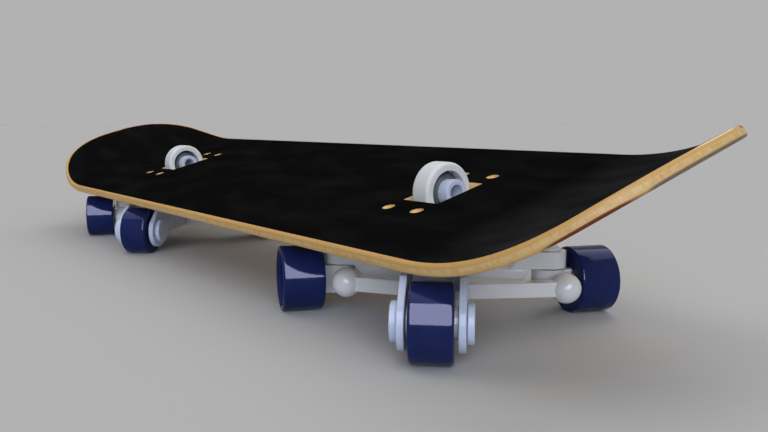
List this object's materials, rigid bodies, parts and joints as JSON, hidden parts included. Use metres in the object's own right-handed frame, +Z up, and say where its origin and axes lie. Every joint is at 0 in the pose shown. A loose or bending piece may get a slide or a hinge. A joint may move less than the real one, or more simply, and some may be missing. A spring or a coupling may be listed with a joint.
{
  "type": "six-wheeled leaning street snowboard",
  "caption": "Street-riding board: kicked wooden deck with grip tape, leaning in ring pivots on two swivelling trucks, each with two linked steering wheels and a forked centre wheel.",
  "frame": {"origin": "on the floor, below the middle of the whole board's bounding box", "axes": "+Z up, +X along the deck towards the tail, +Y towards the deck's raised right edge"},
  "size_m": [0.8044, 0.1992, 0.1244],
  "materials": {
    "maple": "clear satin lacquer over laminated maple",
    "grip": "fine black grit, matte",
    "white_plastic": "satin bluish white moulding",
    "navy_urethane": "smooth glossy cast urethane",
    "steel": "plain bright steel"
  },
  "bodies": {
    "deck": {"deck": "maple", "grip_tape": "grip", "tail_baseplate": "white_plastic", "tail_lean_hub": "white_plastic", "tail_deck_screw_1": "steel", "tail_deck_screw_2": "steel", "tail_deck_screw_3": "steel", "tail_deck_screw_4": "steel", "nose_baseplate": "white_plastic", "nose_lean_hub": "white_plastic", "nose_deck_screw_1": "steel", "nose_deck_screw_2": "steel", "nose_deck_screw_3": "steel", "nose_deck_screw_4": "steel"},
    "tail_cradle": {"tail_lean_housing": "white_plastic", "tail_lean_bearing": "steel", "tail_swivel_spindle": "steel"},
    "tail_truck": {"tail_swivel_bearing": "steel", "tail_beam": "white_plastic", "tail_fork_leg_left": "white_plastic", "tail_fork_leg_right": "white_plastic", "tail_fork_bridge": "white_plastic", "tail_centre_axle": "white_plastic", "tail_centre_axle_cap": "white_plastic", "tail_centre_bush": "white_plastic", "tail_kingpin_left": "white_plastic", "tail_kingpin_right": "white_plastic"},
    "tail_centre_roller": {"tail_centre_wheel": "navy_urethane"},
    "tail_steer_left": {"tail_knuckle_left": "white_plastic", "tail_ball_stud_left": "steel", "tail_wheel_bearing_left": "steel"},
    "tail_roller_left": {"tail_wheel_left": "navy_urethane"},
    "tail_steer_right": {"tail_knuckle_right": "white_plastic", "tail_ball_stud_right": "steel", "tail_wheel_bearing_right": "steel"},
    "tail_roller_right": {"tail_wheel_right": "navy_urethane"},
    "tail_link": {"tail_tie_rod": "white_plastic"},
    "nose_cradle": {"nose_lean_housing": "white_plastic", "nose_lean_bearing": "steel", "nose_swivel_spindle": "steel"},
    "nose_truck": {"nose_swivel_bearing": "steel", "nose_beam": "white_plastic", "nose_fork_leg_left": "white_plastic", "nose_fork_leg_right": "white_plastic", "nose_fork_bridge": "white_plastic", "nose_centre_axle": "white_plastic", "nose_centre_axle_cap": "white_plastic", "nose_centre_bush": "white_plastic", "nose_kingpin_left": "white_plastic", "nose_kingpin_right": "white_plastic"},
    "nose_centre_roller": {"nose_centre_wheel": "navy_urethane"},
    "nose_steer_left": {"nose_knuckle_left": "white_plastic", "nose_ball_stud_left": "steel", "nose_wheel_bearing_left": "steel"},
    "nose_roller_left": {"nose_wheel_left": "navy_urethane"},
    "nose_steer_right": {"nose_knuckle_right": "white_plastic", "nose_ball_stud_right": "steel", "nose_wheel_bearing_right": "steel"},
    "nose_roller_right": {"nose_wheel_right": "navy_urethane"},
    "nose_link": {"nose_tie_rod": "white_plastic"}
  },
  "joints": [
    {"name": "tail_lean", "type": "hinge", "parent": "deck", "child": "tail_cradle", "pos_m": [0.21353, 0.00383, 0.08], "axis": [1, 0, 0], "range_deg": [0, 30]},
    {"name": "tail_swivel", "type": "hinge", "parent": "tail_cradle", "child": "tail_truck", "pos_m": [0.21353, 0.00383, 0.045], "axis": [0, 0, 1], "continuous": true},
    {"name": "tail_steer_left", "type": "hinge", "parent": "tail_truck", "child": "tail_steer_left", "pos_m": [0.16363, -0.04555, 0.036], "axis": [0, 0, 1], "range_deg": [-50, 6]},
    {"name": "tail_roll_left", "type": "hinge", "parent": "tail_steer_left", "child": "tail_roller_left", "pos_m": [0.15303, -0.07028, 0.02196], "axis": [0.3939, 0.9191, 0], "continuous": true},
    {"name": "tail_steer_right", "type": "hinge", "parent": "tail_truck", "child": "tail_steer_right", "pos_m": [0.26343, 0.0532, 0.036], "axis": [0, 0, 1], "range_deg": [-50, 6]},
    {"name": "tail_roll_right", "type": "hinge", "parent": "tail_steer_right", "child": "tail_roller_right", "pos_m": [0.27403, 0.07793, 0.02196], "axis": [0.3939, 0.9191, 0], "continuous": true},
    {"name": "tail_tie", "type": "hinge", "parent": "tail_steer_left", "child": "tail_link", "pos_m": [0.18496, -0.05469, 0.0218], "axis": [0, 0, 1], "range_deg": [-6, 50]},
    {"name": "tail_roll_centre", "type": "hinge", "parent": "tail_truck", "child": "tail_centre_roller", "pos_m": [0.29252, -0.076, 0.02196], "axis": [0.7108, 0.7034, 0], "continuous": true},
    {"name": "nose_lean", "type": "hinge", "parent": "deck", "child": "nose_cradle", "pos_m": [-0.20647, 0.00383, 0.08], "axis": [1, 0, 0], "range_deg": [0, 30]},
    {"name": "nose_swivel", "type": "hinge", "parent": "nose_cradle", "child": "nose_truck", "pos_m": [-0.20647, 0.00383, 0.045], "axis": [0, 0, 1], "continuous": true},
    {"name": "nose_steer_left", "type": "hinge", "parent": "nose_truck", "child": "nose_steer_left", "pos_m": [-0.25637, -0.04555, 0.036], "axis": [0, 0, 1], "range_deg": [-50, 6]},
    {"name": "nose_roll_left", "type": "hinge", "parent": "nose_steer_left", "child": "nose_roller_left", "pos_m": [-0.26697, -0.07028, 0.02196], "axis": [0.3939, 0.9191, 0], "continuous": true},
    {"name": "nose_steer_right", "type": "hinge", "parent": "nose_truck", "child": "nose_steer_right", "pos_m": [-0.15657, 0.0532, 0.036], "axis": [0, 0, 1], "range_deg": [-50, 6]},
    {"name": "nose_roll_right", "type": "hinge", "parent": "nose_steer_right", "child": "nose_roller_right", "pos_m": [-0.14597, 0.07793, 0.02196], "axis": [0.3939, 0.9191, 0], "continuous": true},
    {"name": "nose_tie", "type": "hinge", "parent": "nose_steer_left", "child": "nose_link", "pos_m": [-0.23504, -0.05469, 0.0218], "axis": [0, 0, 1], "range_deg": [-6, 50]},
    {"name": "nose_roll_centre", "type": "hinge", "parent": "nose_truck", "child": "nose_centre_roller", "pos_m": [-0.12748, -0.076, 0.02196], "axis": [0.7108, 0.7034, 0], "continuous": true}
  ],
  "couplings": [
    {"joint": "tail_steer_right", "follows": "tail_steer_left", "ratio": 1},
    {"joint": "tail_tie", "follows": "tail_steer_left", "ratio": -1},
    {"joint": "nose_steer_right", "follows": "nose_steer_left", "ratio": 1},
    {"joint": "nose_tie", "follows": "nose_steer_left", "ratio": -1}
  ]
}
